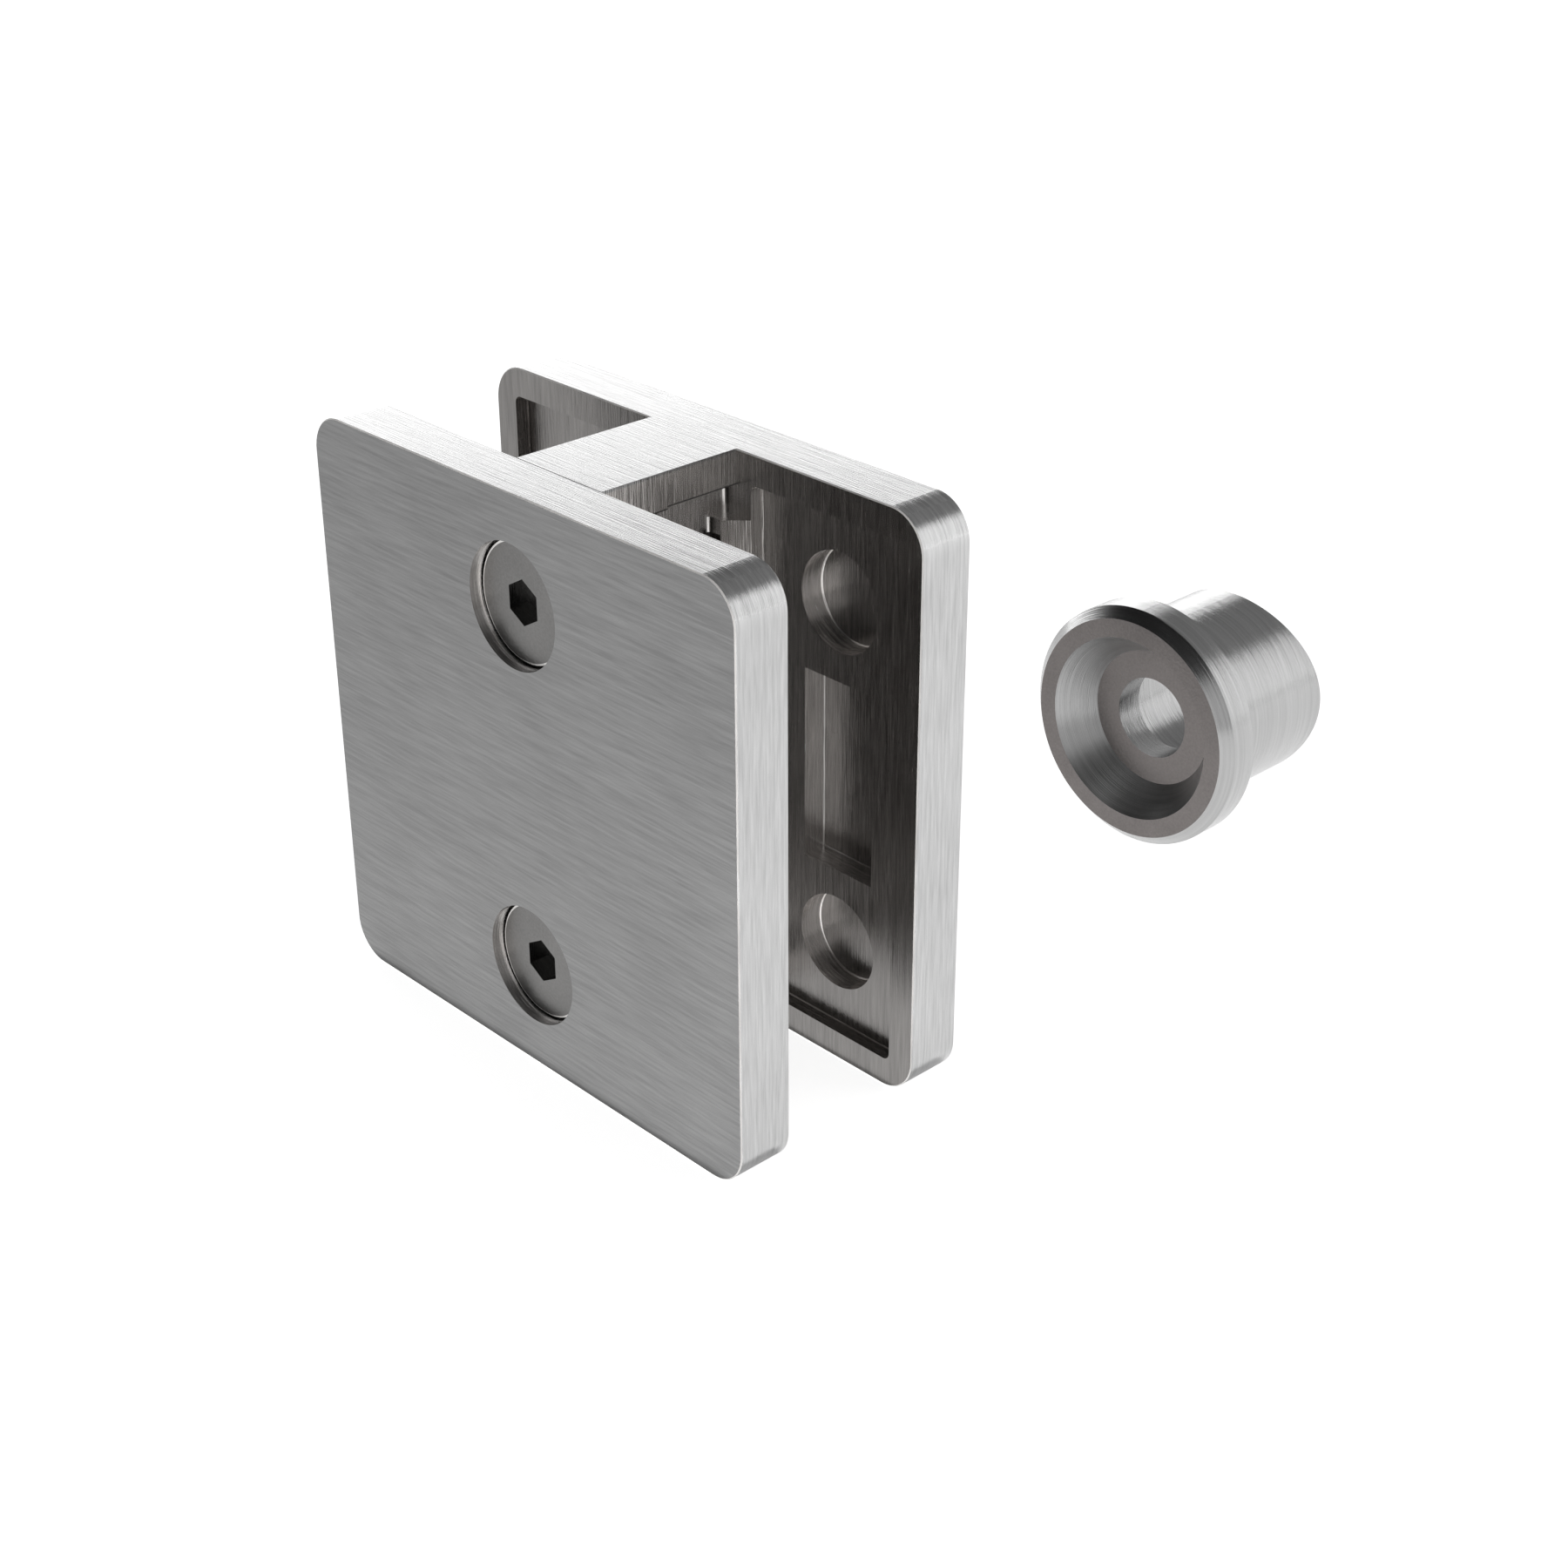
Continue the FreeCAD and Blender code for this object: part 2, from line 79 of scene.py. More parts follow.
# Where the plates change their finish and their painted light and shade. Sides are distances from
# the clamp's middle plane, ends are distances up and down from the plates' middle, and depths are
# places along Y.
PLATE_CORNER = 4.0 * MM
RIM_BAND = 0.3 * MM
OUTER_SKIN = 0.5 * MM
WEB_SIDE, WEB_SIDE_BAND = 6.0 * MM, 0.1 * MM
RECESS_SIDE, RECESS_END = 5.8 * MM, 26.25 * MM
RECESS_STEP, RECESS_STEP_DEPTH = 0.25 * MM, -0.4 * MM
# Width of the painted shadow lines along the recess's ends
RECESS_SHADOW_LINE = 0.15 * MM
RELIEF_SIDE = 18.2 * MM
HOLLOW_HALF_WIDTH, HOLLOW_END = 5.1 * MM, 23.1 * MM
SLOT_HALF_WIDTH, SLOT_END, SLOT_DEPTH = 4.7 * MM, 10.1 * MM, 10.5 * MM
SEAT_SIDE, SEAT_DEPTH = 6.4 * MM, -8.5 * MM
HOLE_RADIUS, HOLE_PITCH, HOLE_THREAD_DEPTH = 3.6 * MM, 1.25 * MM, 0.5 * MM

# How squarely a surface looks along an axis, from 0 to 1, to count as one of these
BROAD_FACE = 0.75
LEVEL_FACE = 0.9
TURNED_FACE = 0.93
SLOPE = 0.3
DISH_CONE, DISH_CONE_BAND = 0.555, 0.05

# The marks and how much they change the finish
STREAK_DETAIL, STREAK_GAIN = 4.0, 0.6
STREAK_TURNS, GRAIN_TURNS = 0.5, 1.0
SHADE_GAIN = 2.4
INNER_CONTRAST, OUTER_CONTRAST_LOSS, TOP_CONTRAST_GAIN = 1.3, 0.2, 0.35
TURNED_CONTRAST = 0.7
TOP_MARKS_ALONG, TOP_MARKS_ACROSS = 0.6, 0.65
PLATE_CLOUD_SCALE, PLATE_CLOUD_SHARE = 60.0, 0.25
TURNED_CLOUD_SCALE, TURNED_CLOUD_SHARE, FLAT_CLOUD_SHARE = 160.0, 0.1, 0.5
SPECKLE = 0.25 * MM
ROUGHNESS_CHANGE = 0.25
EDGE_ROUGHNESS, FLAT_ROUGHNESS, DISH_ROUGHNESS = 0.7, 0.12, 0.1

# The screws: rows of points that the head and the tip take, how far along the tip's chamfer its
# first row lies, the steepness of a groove's flanks and its depth where the thread ends, the
# distance at which points are one, and the least angle of a sharp edge
HEAD_ROWS, TIP_ROWS, TIP_POINT = 5.0, 3.0, 0.75
GROOVE_STEEPNESS, GROOVE_AT_TIP = 1.3, 0.35
SAME_POINT = 0.001 * MM
SHARP_ANGLE = math.radians(35)

# Wear with a painted highlight on turned pieces: width of the bright band on a head, in widths of
# its broken edge, and a radius that no piece reaches, for one that has neither
WORN_HIGHLIT_BAND = 1.9
NOT_WORN_HIGHLIT = 1.0

# The camera: width of its sensor in mm and the nearest that it sees
SENSOR_WIDTH, CLIP_START = 36.0, 0.01

# The studio: every lamp with its setting, its direction in degrees and its size in metres
Lamp = namedtuple("Lamp", "name setting azimuth elevation distance width height")
LAMP_AIM = (0.0, 0.0, 0.03)
LAMPS = (
    Lamp("back_lamp", "back_light", azimuth=146, elevation=11,
         distance=0.8, width=0.86, height=0.38),
    Lamp("side_lamp", "side_light", azimuth=45, elevation=19,
         distance=0.55, width=0.42, height=0.38),
    Lamp("front_lamp", "front_light", azimuth=-38, elevation=18,
         distance=0.9, width=1.1, height=0.56),
    Lamp("fill_lamp", "fill_light", azimuth=-92, elevation=16,
         distance=0.9, width=0.8, height=0.5),
)

# The floor as the steel shows it: brightness at the clamp's middle and the least that it fades to,
# and the strips of painted shade under the two plates
FLOOR_MIDDLE, FLOOR_LEAST = 0.94, 0.6
STRIP_END, STRIP_DEPTH, STRIP_HALF_WIDTH, STRIP_PAINTED_SHADE = 31.2 * MM, 11.0 * MM, 3.6 * MM, 0.7

# The sky: two level directions, right and back, and where its brightness starts and ends to
# change along them and upwards
SKY_RISE, SKY_RISE_START, SKY_RISE_END = (0.5, 0.87), -0.5, 0.6111
LOW_SKY_FALL, LOW_SKY_START, LOW_SKY_END = (0.6, 0.8), 0.1333, -0.5333
LOW_SKY_TOP, LOW_SKY_FULL = 0.5, 0.3
OVERHEAD_START, OVERHEAD_END = 0.92, 0.9825


# Settings that a user would change

class SteelSettings(bpy.types.PropertyGroup):
    """Colours and brushing marks of the stainless steel; several of the colours are painted light
    and shade.
    """

    rim_colour: FloatVectorProperty(
        name="Rim colour", description="Colour of the plates' ground rims",
        subtype="COLOR", size=3, min=0, max=1, default=(0.5, 0.5, 0.5))
    # Painted shade: the outer faces are darker than the rims, for the dim light that they mirror
    face_colour: FloatVectorProperty(
        name="Face colour", description="Colour of the plates' brushed outer faces",
        subtype="COLOR", size=3, min=0, max=1, default=(0.267, 0.267, 0.267))
    # Painted shade: inner faces and pocket floors are darker and warmer than the rims, for the
    # shade in the gap
    inner_colour: FloatVectorProperty(
        name="Inner colour", description="Colour of the plates' inner faces and pocket floors",
        subtype="COLOR", size=3, min=0, max=1, default=(0.26, 0.251, 0.244))
    # Painted light: the web's sides and the walls inside the plates are lighter than the rims
    wall_colour: FloatVectorProperty(
        name="Wall colour", description="Colour of the web's sides and of the recesses' walls",
        subtype="COLOR", size=3, min=0, max=1, default=(0.66, 0.635, 0.615))
    # Painted shade: the long reliefs' floors are dark, for the shade deep in the slots
    slot_colour: FloatVectorProperty(
        name="Slot colour", description="Colour of the long reliefs' floors in the gasket pockets",
        subtype="COLOR", size=3, min=0, max=1, default=(0.195, 0.188, 0.182))
    # Painted highlight: the reliefs' walls are nearly white
    hollow_colour: FloatVectorProperty(
        name="Hollow colour", description="Colour of the reliefs' walls in the gasket pockets",
        subtype="COLOR", size=3, min=0, max=1, default=(0.9, 0.87, 0.85))
    # Painted shade: the slopes at the walls' feet are dark, for the shade in the creases
    foot_colour: FloatVectorProperty(
        name="Foot colour", description="Colour of the narrow slopes where a wall meets a floor",
        subtype="COLOR", size=3, min=0, max=1, default=(0.34, 0.33, 0.32))
    recess_colour: FloatVectorProperty(
        name="Recess colour", description="Colour of the milled recess in the web's sides",
        subtype="COLOR", size=3, min=0, max=1, default=(0.73, 0.71, 0.695))
    # Painted shadow: dark lines along both ends of the web's recess
    shadow_line_colour: FloatVectorProperty(
        name="Line colour", description="Colour of the dark lines at both ends of the recess",
        subtype="COLOR", size=3, min=0, max=1, default=(0.213, 0.21, 0.206))
    # Wear with a painted highlight: edges lightened nearly to white
    worn_highlit_colour: FloatVectorProperty(
        name="Edge colour", description="Colour of edges that are worn bright",
        subtype="COLOR", size=3, min=0, max=1, default=(0.92, 0.91, 0.9))
    turned_colour: FloatVectorProperty(
        name="Turned colour", description="Colour of the adapter's turned walls",
        subtype="COLOR", size=3, min=0, max=1, default=(0.43, 0.43, 0.43))
    # Painted shade: the adapter's flat faces are darker and browner than its turned walls
    shaded_machined_colour: FloatVectorProperty(
        name="Machined colour", description="Colour of the adapter's flat faces",
        subtype="COLOR", size=3, min=0, max=1, default=(0.195, 0.18, 0.175))
    screw_colour: FloatVectorProperty(
        name="Screw colour", description="Colour of the cover screws",
        subtype="COLOR", size=3, min=0, max=1, default=(0.213, 0.21, 0.206))
    shade_change: FloatProperty(
        name="Shade change", description="How much lighter and darker the streaks are",
        subtype="FACTOR", min=0, max=1, default=0.18)
    roughness: FloatProperty(
        name="Roughness", description="Roughness between the brushing marks",
        subtype="FACTOR", min=0, max=1, default=0.22)
    streak_length: FloatProperty(
        name="Streak length", description="Usual length of one brushing mark",
        unit="LENGTH", default=6.0 * MM)
    streak_width: FloatProperty(
        name="Streak width", description="Usual width of one brushing mark",
        unit="LENGTH", default=0.32 * MM)
    grain_length: FloatProperty(
        name="Grain length", description="Length of the finest grinding marks",
        unit="LENGTH", default=5.0 * MM)
    grain_width: FloatProperty(
        name="Grain width", description="Width of the finest grinding marks",
        unit="LENGTH", default=0.07 * MM)
    grain_depth: FloatProperty(
        name="Grain depth", description="Depth of the finest grinding marks",
        unit="LENGTH", default=0.02 * MM)


class ScrewSettings(bpy.types.PropertyGroup):
    """Sizes of the countersunk cover screws."""

    head_edge: FloatProperty(
        name="Head edge", description="Broken edge of the head",
        unit="LENGTH", default=0.12 * MM)
    head_land: FloatProperty(
        name="Head land", description="Straight rim of the head",
        unit="LENGTH", default=0.5 * MM)
    shank: FloatProperty(
        name="Shank", description="Outer radius of the thread",
        unit="LENGTH", default=3.0 * MM)
    tip: FloatProperty(
        name="Tip", description="Chamfer at the end of the thread",
        unit="LENGTH", default=0.8 * MM)
    neck: FloatProperty(
        name="Neck", description="Length without thread below the head",
        unit="LENGTH", default=1.0 * MM)
    pitch: FloatProperty(
        name="Pitch", description="Distance between two turns of the thread",
        unit="LENGTH", default=1.0 * MM)
    thread_depth: FloatProperty(
        name="Thread depth", description="Depth of the thread's grooves",
        unit="LENGTH", default=0.58 * MM)
    key: FloatProperty(
        name="Key", description="Width across flats of the socket",
        unit="LENGTH", default=4.0 * MM)
    key_depth: FloatProperty(
        name="Key depth", description="Depth of the socket",
        unit="LENGTH", default=2.4 * MM)
    rows: IntProperty(
        name="Rows", description="Points along the screw", min=60, max=400, default=130)
    columns: IntProperty(
        name="Columns", description="Points round the screw", min=12, max=96, default=48)


class StudioSettings(bpy.types.PropertyGroup):
    """Floor, lamps and surroundings."""

    floor_colour: FloatVectorProperty(
        name="Floor colour", description="Colour of the plain floor",
        subtype="COLOR", size=3, min=0, max=1, default=(0.86, 0.86, 0.86))
    floor_glow: FloatProperty(
        name="Floor glow", description="Light that the floor adds to what the lamps give it",
        min=0, max=2, default=0.83)
    floor_fade: FloatProperty(
        name="Floor fade",
        description="How fast the floor darkens to the left in reflections, per metre",
        min=0, default=2.9)
    floor_size: FloatProperty(
        name="Floor size", description="Side of the square floor", unit="LENGTH", default=40.0)
    back_light: FloatProperty(
        name="Back lamp", description="Brightness of the soft lamp behind on the left",
        min=0, default=2.2)
    side_light: FloatProperty(
        name="Side lamp", description="Brightness of the soft lamp behind on the right",
        min=0, default=1.15)
    front_light: FloatProperty(
        name="Front lamp", description="Brightness of the wide lamp in front on the right",
        min=0, default=0.5)
    fill_light: FloatProperty(
        name="Fill lamp", description="Brightness of the soft lamp straight in front",
        min=0, default=0.5)
    back_sky: FloatProperty(
        name="Back sky", description="Strength of the even light from behind",
        min=0, max=2, default=0.28)
    top_sky: FloatProperty(
        name="Top sky", description="Strength of the light right above",
        min=0, max=2, default=0.35)
    low_sky: FloatProperty(
        name="Low sky", description="Strength of the light low in front on the left",
        min=0, max=2, default=0.4)
    front_sky: FloatProperty(
        name="Front sky", description="Strength of the even light from the front",
        min=0, max=2, default=0.02)


class CameraSettings(bpy.types.PropertyGroup):
    """The photograph's viewpoint."""

    place: FloatVectorProperty(
        name="Place", description="Position of the camera", subtype="TRANSLATION", size=3,
        default=(0.171522, -0.141427, 0.141187))
    azimuth: FloatProperty(
        name="Azimuth", description="Turn of the view about the vertical, 0 looks along +Y",
        subtype="ANGLE", default=math.radians(46.811))
    elevation: FloatProperty(
        name="Elevation", description="Angle at which the camera looks down",
        subtype="ANGLE", default=math.radians(27.468))
    roll: FloatProperty(
        name="Roll", description="Turn of the picture about its middle",
        subtype="ANGLE", default=math.radians(-0.176))
    lens: FloatProperty(
        name="Focal length", description="Focal length on a 36 mm wide picture, in mm",
        min=1, default=58.8515)


class ClampSettings(bpy.types.PropertyGroup):
    """All settings of the scene."""

    steel: PointerProperty(type=SteelSettings)
    screws: PointerProperty(type=ScrewSettings)
    studio: PointerProperty(type=StudioSettings)
    camera: PointerProperty(type=CameraSettings)


# Nodes as expressions

class Term:
    """A node's output that takes part in expressions; each operation adds one Math node."""

    def __init__(self, board, socket):
        self.board = board
        self.socket = socket

    def math(self, operation, *others):
        values = dict(enumerate((self,) + others))
        return self.board.node("ShaderNodeMath", {"operation": operation}, values)

    def __add__(self, other):
        return self.math("ADD", other)

    __radd__ = __add__

    def __sub__(self, other):
        return self.math("SUBTRACT", other)

    def __rsub__(self, other):
        return self.board.node("ShaderNodeMath", {"operation": "SUBTRACT"}, {0: other, 1: self})

    def __mul__(self, other):
        return self.math("MULTIPLY", other)

    __rmul__ = __mul__

    def __truediv__(self, other):
        return self.math("DIVIDE", other)

    def __abs__(self):
        return self.math("ABSOLUTE")

    def above(self, edge):
        """1 where the value is greater than the edge, and 0 elsewhere."""
        return self.math("GREATER_THAN", edge)

    def below(self, edge):
        """1 where the value is less than the edge, and 0 elsewhere."""
        return self.math("LESS_THAN", edge)

    def least(self, other):
        return self.math("MINIMUM", other)

    def most(self, other):
        return self.math("MAXIMUM", other)

    def between(self, low, high):
        return self.most(low).least(high)

    def root(self):
        return self.math("SQRT")

    def ramp(self, start, end):
        """0 up to the start, 1 from the end on and a straight line between them."""
        return ((self - start) * (1.0 / (end - start))).between(0.0, 1.0)

    def stretched(self, gain):
        """Further from 0.5 by this factor."""
        return (self - 0.5) * gain + 0.5

    def towards(self, other, share):
        """This share of the way from the value to another one."""
        return self + (other - self) * share

    def wave(self):
        """A zigzag between 0 and 1 that repeats at every whole number."""
        return abs(self.math("FRACT") * 2.0 - 1.0)


class Board:
    """A node tree that expressions are built on."""

    def __init__(self, tree):
        self.tree = tree
        self.tree.nodes.clear()

    def node(self, kind, settings=None, values=None, output=0):
        """Adds a node, sets it up, fills its sockets and returns one of its outputs."""
        made = self.tree.nodes.new(kind)
        for key, setting in (settings or {}).items():
            setattr(made, key, setting)
        for key, value in (values or {}).items():
            if isinstance(value, Term):
                self.tree.links.new(value.socket, made.inputs[key])
            else:
                made.inputs[key].default_value = value
        return Term(self, made.outputs[output]) if made.outputs else None

    def mix_colours(self, factor, first, second, blend="MIX"):
        """A blend of two colours."""
        settings = {"data_type": "RGBA", "blend_type": blend}
        values = {0: factor, 6: opaque(first), 7: opaque(second)}
        return self.node("ShaderNodeMix", settings, values, output=2)

    def layers(self, colour, *covers):
        """A colour under others, each of which covers it where its mask is 1."""
        for mask, cover in covers:
            colour = self.mix_colours(mask, colour, cover)
        return colour

    def mix_vectors(self, factor, first, second):
        """A blend of two vectors."""
        values = {0: factor, 4: first, 5: second}
        return self.node("ShaderNodeMix", {"data_type": "VECTOR"}, values, output=1)

    def vector(self, operation, first, second):
        """A Vector Math node with two inputs."""
        return self.node("ShaderNodeVectorMath", {"operation": operation}, {0: first, 1: second})

    def join(self, x, y, z):
        """A vector from three numbers."""
        return self.node("ShaderNodeCombineXYZ", None, {0: x, 1: y, 2: z})

    def parts(self, vector):
        """The three numbers of a vector."""
        split = self.node("ShaderNodeSeparateXYZ", None, {0: vector})
        return [Term(self, socket) for socket in split.socket.node.outputs]

    def outputs(self, kind):
        """All outputs of a new node, by name."""
        made = self.node(kind).socket.node
        return {socket.name: Term(self, socket) for socket in made.outputs}

    def noise(self, vector, scale=1.0, detail=1.0, roughness=0.5):
        """Noise around 0.5."""
        return self.node("ShaderNodeTexNoise", {"noise_dimensions": "3D"}, {
            "Vector": vector, "Scale": scale, "Detail": detail, "Roughness": roughness})


def opaque(colour):
    """A colour with its alpha; an output of a node stays as it is."""
    return colour if isinstance(colour, Term) else tuple(colour) + (1.0,)


def new_material(name):
    """An empty material and the board of its nodes."""
    material = bpy.data.materials.new(name)
    material.use_nodes = True
    return material, Board(material.node_tree)


def finish(board, colour, roughness, bumps, normal):
    """Ends a steel material; each bump is a height, 0 to 1, and its depth."""
    for height, depth in bumps:
        normal = board.node("ShaderNodeBump", None, {
            "Strength": 1.0, "Distance": depth, "Height": height, "Normal": normal})
    values = {"Base Color": colour, "Metallic": 1.0, "Roughness": roughness, "Normal": normal}
    surface = board.node("ShaderNodeBsdfPrincipled", None, values)
    board.node("ShaderNodeOutputMaterial", None, {"Surface": surface})


def shaded(board, colour, pattern, spread):
    """A colour that follows a pattern around 0.5, lighter and darker by the spread."""
    darkest, lightest = (board.mix_colours(1.0, colour, (level, level, level), "MULTIPLY")
                         for level in (1.0 - spread, 1.0 + spread))
    return board.mix_colours(pattern.stretched(SHADE_GAIN).between(0.0, 1.0), darkest, lightest)


def plate_masks(board, place, normal):
    """Masks, 0 or 1, for the parts of a plate that have a look of their own."""
    across_x, depth_y, height_z = board.parts(place)
    _, towards_y, towards_z = board.parts(normal)
    facing = abs(towards_y)
    side = abs(across_x)
    end = abs(height_z - PLATE_MIDDLE.z)

    beyond_x = side - (PLATE_HIGH.x - PLATE_CORNER)
    beyond_z = end - (PLATE_HIGH.z - PLATE_MIDDLE.z - PLATE_CORNER)
    corner_x, corner_z = beyond_x.most(0.0), beyond_z.most(0.0)
    past_corner = (corner_x * corner_x + corner_z * corner_z).root()
    past_outline = past_corner + beyond_x.most(beyond_z).least(0.0) - PLATE_CORNER

    broad = facing.above(BROAD_FACE)
    rim = (1.0 - broad) * past_outline.above(-RIM_BAND)
    wall = 1.0 - broad - rim

    from_relief = abs(side - RELIEF_SIDE)
    slot = from_relief.below(SLOT_HALF_WIDTH) * end.below(SLOT_END) * abs(depth_y).above(SLOT_DEPTH)
    seat = side.below(SEAT_SIDE) * depth_y.below(SEAT_DEPTH)
    past_recess = end - RECESS_END - depth_y.above(RECESS_STEP_DEPTH) * RECESS_STEP
    web_side = wall * abs(side - WEB_SIDE).below(WEB_SIDE_BAND)
    return SimpleNamespace(
        broad=broad,
        outside=broad * abs(depth_y).above(PLATE_HIGH.y - OUTER_SKIN),
        rim=rim,
        # edges with wear and a painted highlight
        edge=rim * facing.above(SLOPE),
        top=rim * abs(towards_z).above(LEVEL_FACE),
        slot=slot,
        recess=wall * side.below(RECESS_SIDE),
        # painted shadow lines along both ends of the recess
        recess_shadow_line=web_side * past_recess.above(0.0) * past_recess.below(RECESS_SHADOW_LINE),
        # reliefs' walls, which carry a painted highlight
        hollow=wall * from_relief.below(HOLLOW_HALF_WIDTH) * end.below(HOLLOW_END),
        # feet of the walls, which carry painted shade
        foot=wall * facing.above(SLOPE) * slot.most(seat),
    )


def plate_colour(board, at, steel):
    """Colour of the plates' steel before it gets its streaks, with painted light on the walls, a
    painted highlight on the reliefs' walls and edges, and painted shade on the faces, slot floors,
    walls' feet and recess ends.
    """
    walls = board.layers(
        steel.wall_colour, (at.recess, steel.recess_colour), (at.hollow, steel.hollow_colour),
        (at.foot, steel.foot_colour), (at.rim, steel.rim_colour),
        (at.recess_shadow_line, steel.shadow_line_colour))
    faces = board.layers(
        steel.inner_colour, (at.slot, steel.slot_colour), (at.outside, steel.face_colour))
    return board.layers(walls, (at.broad, faces), (at.edge, steel.worn_highlit_colour))


def hole_thread(board, place, broad):
    """Height of the thread in the hole of the clamp's back."""
    across_x, depth_y, height_z = board.parts(place)
    up = height_z - PLATE_MIDDLE.z
    in_hole = (across_x * across_x + up * up).root().below(HOLE_RADIUS) * (1.0 - broad)
    turn = up.math("ARCTAN2", across_x) * (0.5 / math.pi)
    return (depth_y * (1.0 / HOLE_PITCH) + turn).wave() * in_hole


def brushed_steel(name, steel):
    """Steel of the plates: brushed along the panes outside, upright inside, along every rim."""
    material, board = new_material(name)
    given = board.outputs("ShaderNodeTexCoord")
    place = given["Object"]
    at = plate_masks(board, place, given["Normal"])

    def marks(length, width):
        """Object coordinates stretched so that noise on them runs along the brushing."""
        along, across = 1.0 / length, 1.0 / width
        top_marks = (along * TOP_MARKS_ALONG, across * TOP_MARKS_ACROSS, along)
        on_rims = board.mix_vectors(at.top, (along, across, along), top_marks)
        on_faces = board.mix_vectors(at.outside, (across, along, along), (along, along, across))
        return board.vector("MULTIPLY", place, board.mix_vectors(at.broad, on_rims, on_faces))

    streaks = board.noise(
        marks(steel.streak_length, steel.streak_width), detail=STREAK_DETAIL, roughness=STREAK_GAIN)
    grain = board.noise(marks(steel.grain_length, steel.grain_width))
    clouds = board.noise(place, PLATE_CLOUD_SCALE, detail=2.0)
    contrast = INNER_CONTRAST - (at.outside + at.rim) * OUTER_CONTRAST_LOSS \
        + at.top * TOP_CONTRAST_GAIN
    pattern = streaks.towards(clouds, PLATE_CLOUD_SHARE).stretched(contrast)

    colour = shaded(board, plate_colour(board, at, steel), pattern, steel.shade_change)
    roughness = steel.roughness + (pattern - 0.5) * ROUGHNESS_CHANGE + at.edge * EDGE_ROUGHNESS
    bumps = [(hole_thread(board, place, at.broad), HOLE_THREAD_DEPTH), (grain, steel.grain_depth)]
    finish(board, colour, roughness, bumps, board.outputs("ShaderNodeNewGeometry")["Normal"])
    return material


def turned_steel(name, steel, axis, wall_colour, flat_colour, worn_highlit_radius=NOT_WORN_HIGHLIT):
    """Steel of a turned piece: marks round an axis along Y, matt flat faces.

    From a radius on, the edges are worn and carry a painted highlight: a nearly white colour and a
    normal turned to the front.
    """
    material, board = new_material(name)
    given = board.outputs("ShaderNodeTexCoord")
    place = given["Object"]
    facing = abs(board.parts(given["Normal"])[1])
    flat = facing.above(TURNED_FACE)
    cone = abs(facing - DISH_CONE).below(DISH_CONE_BAND)
    out_x, along_y, out_z = board.parts(board.vector("SUBTRACT", place, tuple(axis)))
    past_radius = (out_x * out_x + out_z * out_z).above(worn_highlit_radius * worn_highlit_radius)
    worn_highlit = facing.above(SLOPE) * past_radius
    around = board.vector("NORMALIZE", board.join(out_x, 0.0, out_z), (0.0, 0.0, 0.0))

    def marks(turns, width):
        """Coordinates whose noise runs round the axis and changes this often in a turn."""
        turned = board.vector("MULTIPLY", around, (turns, 0.0, turns))
        return board.vector("ADD", turned, board.join(0.0, along_y * (1.0 / width), 0.0))

    streaks = board.noise(
        marks(STREAK_TURNS, steel.streak_width), detail=STREAK_DETAIL, roughness=STREAK_GAIN)
    grain = board.noise(marks(GRAIN_TURNS, steel.grain_width))
    speckle = board.noise(place, 1.0 / SPECKLE, detail=2.0)
    clouds = board.noise(place, TURNED_CLOUD_SCALE, detail=2.0)
    on_wall = streaks.towards(clouds, TURNED_CLOUD_SHARE).stretched(TURNED_CONTRAST)
    pattern = on_wall.towards(speckle.towards(clouds, FLAT_CLOUD_SHARE), flat)
    height = grain.towards(speckle, flat)

    # Flat faces take their own colour, darker on the adapter as painted shade, and the worn band a
    # painted highlight
    base = board.layers(wall_colour, (flat, flat_colour), (worn_highlit, steel.worn_highlit_colour))
    colour = shaded(board, base, pattern, steel.shade_change)
    roughness = steel.roughness + (pattern - 0.5) * ROUGHNESS_CHANGE \
        + flat * FLAT_ROUGHNESS + cone * DISH_ROUGHNESS
    shape = board.outputs("ShaderNodeNewGeometry")["Normal"]
    # The worn, highlit band's normal turns to the front, so that the painted highlight also mirrors
    # the bright floor
    normal = board.mix_vectors(worn_highlit, shape, (0.0, -1.0, 0.0))
    finish(board, colour, roughness, [(height, steel.grain_depth)], normal)
    return material


def finish_node(node, material):
    """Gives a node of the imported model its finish."""
    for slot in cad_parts[node].material_slots:
        slot.material = material


# The cover screws

SCREW_INPUTS = (
    ("Head Radius", "Float"), ("Head Edge", "Float"), ("Head Land", "Float"),
    ("Shank Radius", "Float"), ("Length", "Float"), ("Tip", "Float"), ("Neck", "Float"),
    ("Pitch", "Float"), ("Thread Depth", "Float"), ("Key", "Float"), ("Key Depth", "Float"),
    ("Rows", "Int"), ("Columns", "Int"), ("Place", "Vector"), ("Material", "Material"),
)


